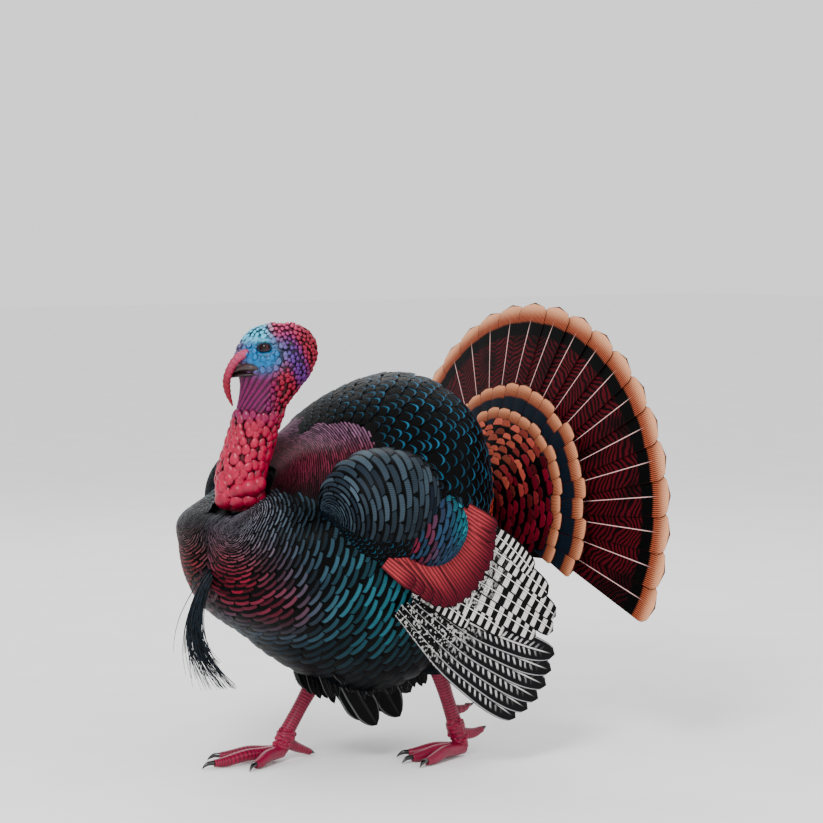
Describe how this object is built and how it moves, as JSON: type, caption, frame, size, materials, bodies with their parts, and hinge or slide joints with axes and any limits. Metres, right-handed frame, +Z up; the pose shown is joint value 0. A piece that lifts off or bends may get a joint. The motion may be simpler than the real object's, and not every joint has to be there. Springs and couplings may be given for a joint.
{
  "type": "turkey decoy",
  "caption": "Full-body strutting gobbler decoy with a turning head, drooped wings, walking legs, a blind stake socket and a tail fan that tilts and folds about one pivot.",
  "frame": {"origin": "on the ground, below the middle of the decoy's bounding box", "axes": "+Z up, -X the way the bird faces, -Y the bird's left side"},
  "size_m": [0.6735, 0.6677, 0.7014],
  "materials": {
    "body_feathers": "moulded feather relief painted black with slate-teal edges",
    "wing_coverts": "moulded feather relief, slate grey",
    "secondaries": "white with a black bar grid, copper patch at the root",
    "primaries": "dark with white chevron bars",
    "black_feathers": "black with fine grey edges",
    "fan_feathers": "maroon barring, black band and buff tip",
    "tail_coverts": "buff edge, black band and chestnut centre",
    "head_skin": "soft moulded skin, red caruncles and blue face",
    "beak_horn": "grey-brown horn",
    "glass_eye": "dark glossy eye",
    "beard_bristle": "black bristle",
    "leg_scales": "crimson scaled leg",
    "claw_horn": "black horn",
    "skeleton_steel": "zinc-plated steel",
    "skeleton_alloy": "plain alloy",
    "black_fitting": "black moulded plastic",
    "wattle_gloss": "bright red, glossy"
  },
  "bodies": {
    "body": {"body_shell_left": "body_feathers", "body_shell_right": "body_feathers", "thigh_left": "body_feathers", "thigh_right": "body_feathers", "wing_left": "wing_coverts", "wing_right": "wing_coverts", "wing_left_secondaries": "secondaries", "wing_right_secondaries": "secondaries", "wing_left_primaries": "primaries", "wing_right_primaries": "primaries", "undertail_feathers": "black_feathers", "shell_screws": "skeleton_steel", "spine_plate": "skeleton_alloy", "leg_yoke": "skeleton_alloy", "neck_socket": "skeleton_alloy", "stake_socket": "black_fitting", "leg_core_left": "skeleton_steel", "leg_core_right": "skeleton_steel", "leg_left": "leg_scales", "leg_right": "leg_scales", "claws_left": "claw_horn", "claws_right": "claw_horn", "beard": "beard_bristle", "tail_bracket": "skeleton_alloy", "tail_knob": "black_fitting", "tail_hinge_pin": "skeleton_steel"},
    "head": {"head_and_neck": "head_skin", "neck_post": "black_fitting", "eyes": "glass_eye", "beak": "beak_horn", "snood": "head_skin", "wattle": "wattle_gloss"},
    "tail": {"tail_arm": "skeleton_alloy", "tail_covert_ring": "tail_coverts", "rump_covert_ring": "tail_coverts", "fan_pivot_screw": "skeleton_steel", "fan_nut": "skeleton_steel", "fan_feather_middle": "fan_feathers"},
    "feather_left_11": {"fan_feather_left_11": "fan_feathers"},
    "feather_left_10": {"fan_feather_left_10": "fan_feathers"},
    "feather_left_09": {"fan_feather_left_09": "fan_feathers"},
    "feather_left_08": {"fan_feather_left_08": "fan_feathers"},
    "feather_left_07": {"fan_feather_left_07": "fan_feathers"},
    "feather_left_06": {"fan_feather_left_06": "fan_feathers"},
    "feather_left_05": {"fan_feather_left_05": "fan_feathers"},
    "feather_left_04": {"fan_feather_left_04": "fan_feathers"},
    "feather_left_03": {"fan_feather_left_03": "fan_feathers"},
    "feather_left_02": {"fan_feather_left_02": "fan_feathers"},
    "feather_left_01": {"fan_feather_left_01": "fan_feathers"},
    "feather_right_11": {"fan_feather_right_11": "fan_feathers"},
    "feather_right_10": {"fan_feather_right_10": "fan_feathers"},
    "feather_right_09": {"fan_feather_right_09": "fan_feathers"},
    "feather_right_08": {"fan_feather_right_08": "fan_feathers"},
    "feather_right_07": {"fan_feather_right_07": "fan_feathers"},
    "feather_right_06": {"fan_feather_right_06": "fan_feathers"},
    "feather_right_05": {"fan_feather_right_05": "fan_feathers"},
    "feather_right_04": {"fan_feather_right_04": "fan_feathers"},
    "feather_right_03": {"fan_feather_right_03": "fan_feathers"},
    "feather_right_02": {"fan_feather_right_02": "fan_feathers"},
    "feather_right_01": {"fan_feather_right_01": "fan_feathers"}
  },
  "joints": [
    {"name": "head_turn", "type": "hinge", "parent": "body", "child": "head", "pos_m": [-0.239, 0, 0.4], "axis": [0, 0, 1], "range_deg": [-32, 60]},
    {"name": "tail_tilt", "type": "hinge", "parent": "body", "child": "tail", "pos_m": [0.211, 0, 0.318], "axis": [0, 1, 0], "range_deg": [-5, 12]},
    {"name": "fan_fold_left_11", "type": "hinge", "parent": "tail", "child": "feather_left_11", "pos_m": [0.22921, 0, 0.37642], "axis": [0.9945, 0, -0.1045], "range_deg": [-94.6, 0]},
    {"name": "fan_fold_left_10", "type": "hinge", "parent": "tail", "child": "feather_left_10", "pos_m": [0.22921, 0, 0.37642], "axis": [0.9945, 0, -0.1045], "range_deg": [-86, 0]},
    {"name": "fan_fold_left_09", "type": "hinge", "parent": "tail", "child": "feather_left_09", "pos_m": [0.22921, 0, 0.37642], "axis": [0.9945, 0, -0.1045], "range_deg": [-77.4, 0]},
    {"name": "fan_fold_left_08", "type": "hinge", "parent": "tail", "child": "feather_left_08", "pos_m": [0.22921, 0, 0.37642], "axis": [0.9945, 0, -0.1045], "range_deg": [-68.8, 0]},
    {"name": "fan_fold_left_07", "type": "hinge", "parent": "tail", "child": "feather_left_07", "pos_m": [0.22921, 0, 0.37642], "axis": [0.9945, 0, -0.1045], "range_deg": [-60.2, 0]},
    {"name": "fan_fold_left_06", "type": "hinge", "parent": "tail", "child": "feather_left_06", "pos_m": [0.22921, 0, 0.37642], "axis": [0.9945, 0, -0.1045], "range_deg": [-51.6, 0]},
    {"name": "fan_fold_left_05", "type": "hinge", "parent": "tail", "child": "feather_left_05", "pos_m": [0.22921, 0, 0.37642], "axis": [0.9945, 0, -0.1045], "range_deg": [-43, 0]},
    {"name": "fan_fold_left_04", "type": "hinge", "parent": "tail", "child": "feather_left_04", "pos_m": [0.22921, 0, 0.37642], "axis": [0.9945, 0, -0.1045], "range_deg": [-34.4, 0]},
    {"name": "fan_fold_left_03", "type": "hinge", "parent": "tail", "child": "feather_left_03", "pos_m": [0.22921, 0, 0.37642], "axis": [0.9945, 0, -0.1045], "range_deg": [-25.8, 0]},
    {"name": "fan_fold_left_02", "type": "hinge", "parent": "tail", "child": "feather_left_02", "pos_m": [0.22921, 0, 0.37642], "axis": [0.9945, 0, -0.1045], "range_deg": [-17.2, 0]},
    {"name": "fan_fold_left_01", "type": "hinge", "parent": "tail", "child": "feather_left_01", "pos_m": [0.22921, 0, 0.37642], "axis": [0.9945, 0, -0.1045], "range_deg": [-8.6, 0]},
    {"name": "fan_fold_right_11", "type": "hinge", "parent": "tail", "child": "feather_right_11", "pos_m": [0.22921, 0, 0.37642], "axis": [0.9945, 0, -0.1045], "range_deg": [0, 94.6]},
    {"name": "fan_fold_right_10", "type": "hinge", "parent": "tail", "child": "feather_right_10", "pos_m": [0.22921, 0, 0.37642], "axis": [0.9945, 0, -0.1045], "range_deg": [0, 86]},
    {"name": "fan_fold_right_09", "type": "hinge", "parent": "tail", "child": "feather_right_09", "pos_m": [0.22921, 0, 0.37642], "axis": [0.9945, 0, -0.1045], "range_deg": [0, 77.4]},
    {"name": "fan_fold_right_08", "type": "hinge", "parent": "tail", "child": "feather_right_08", "pos_m": [0.22921, 0, 0.37642], "axis": [0.9945, 0, -0.1045], "range_deg": [0, 68.8]},
    {"name": "fan_fold_right_07", "type": "hinge", "parent": "tail", "child": "feather_right_07", "pos_m": [0.22921, 0, 0.37642], "axis": [0.9945, 0, -0.1045], "range_deg": [0, 60.2]},
    {"name": "fan_fold_right_06", "type": "hinge", "parent": "tail", "child": "feather_right_06", "pos_m": [0.22921, 0, 0.37642], "axis": [0.9945, 0, -0.1045], "range_deg": [0, 51.6]},
    {"name": "fan_fold_right_05", "type": "hinge", "parent": "tail", "child": "feather_right_05", "pos_m": [0.22921, 0, 0.37642], "axis": [0.9945, 0, -0.1045], "range_deg": [0, 43]},
    {"name": "fan_fold_right_04", "type": "hinge", "parent": "tail", "child": "feather_right_04", "pos_m": [0.22921, 0, 0.37642], "axis": [0.9945, 0, -0.1045], "range_deg": [0, 34.4]},
    {"name": "fan_fold_right_03", "type": "hinge", "parent": "tail", "child": "feather_right_03", "pos_m": [0.22921, 0, 0.37642], "axis": [0.9945, 0, -0.1045], "range_deg": [0, 25.8]},
    {"name": "fan_fold_right_02", "type": "hinge", "parent": "tail", "child": "feather_right_02", "pos_m": [0.22921, 0, 0.37642], "axis": [0.9945, 0, -0.1045], "range_deg": [0, 17.2]},
    {"name": "fan_fold_right_01", "type": "hinge", "parent": "tail", "child": "feather_right_01", "pos_m": [0.22921, 0, 0.37642], "axis": [0.9945, 0, -0.1045], "range_deg": [0, 8.6]}
  ],
  "couplings": [
    {"joint": "fan_fold_left_10", "follows": "fan_fold_left_11", "ratio": 0.90909},
    {"joint": "fan_fold_left_09", "follows": "fan_fold_left_11", "ratio": 0.81818},
    {"joint": "fan_fold_left_08", "follows": "fan_fold_left_11", "ratio": 0.72727},
    {"joint": "fan_fold_left_07", "follows": "fan_fold_left_11", "ratio": 0.63636},
    {"joint": "fan_fold_left_06", "follows": "fan_fold_left_11", "ratio": 0.54545},
    {"joint": "fan_fold_left_05", "follows": "fan_fold_left_11", "ratio": 0.45455},
    {"joint": "fan_fold_left_04", "follows": "fan_fold_left_11", "ratio": 0.36364},
    {"joint": "fan_fold_left_03", "follows": "fan_fold_left_11", "ratio": 0.27273},
    {"joint": "fan_fold_left_02", "follows": "fan_fold_left_11", "ratio": 0.18182},
    {"joint": "fan_fold_left_01", "follows": "fan_fold_left_11", "ratio": 0.090909},
    {"joint": "fan_fold_right_11", "follows": "fan_fold_left_11", "ratio": -1},
    {"joint": "fan_fold_right_10", "follows": "fan_fold_left_11", "ratio": -0.90909},
    {"joint": "fan_fold_right_09", "follows": "fan_fold_left_11", "ratio": -0.81818},
    {"joint": "fan_fold_right_08", "follows": "fan_fold_left_11", "ratio": -0.72727},
    {"joint": "fan_fold_right_07", "follows": "fan_fold_left_11", "ratio": -0.63636},
    {"joint": "fan_fold_right_06", "follows": "fan_fold_left_11", "ratio": -0.54545},
    {"joint": "fan_fold_right_05", "follows": "fan_fold_left_11", "ratio": -0.45455},
    {"joint": "fan_fold_right_04", "follows": "fan_fold_left_11", "ratio": -0.36364},
    {"joint": "fan_fold_right_03", "follows": "fan_fold_left_11", "ratio": -0.27273},
    {"joint": "fan_fold_right_02", "follows": "fan_fold_left_11", "ratio": -0.18182},
    {"joint": "fan_fold_right_01", "follows": "fan_fold_left_11", "ratio": -0.090909}
  ]
}
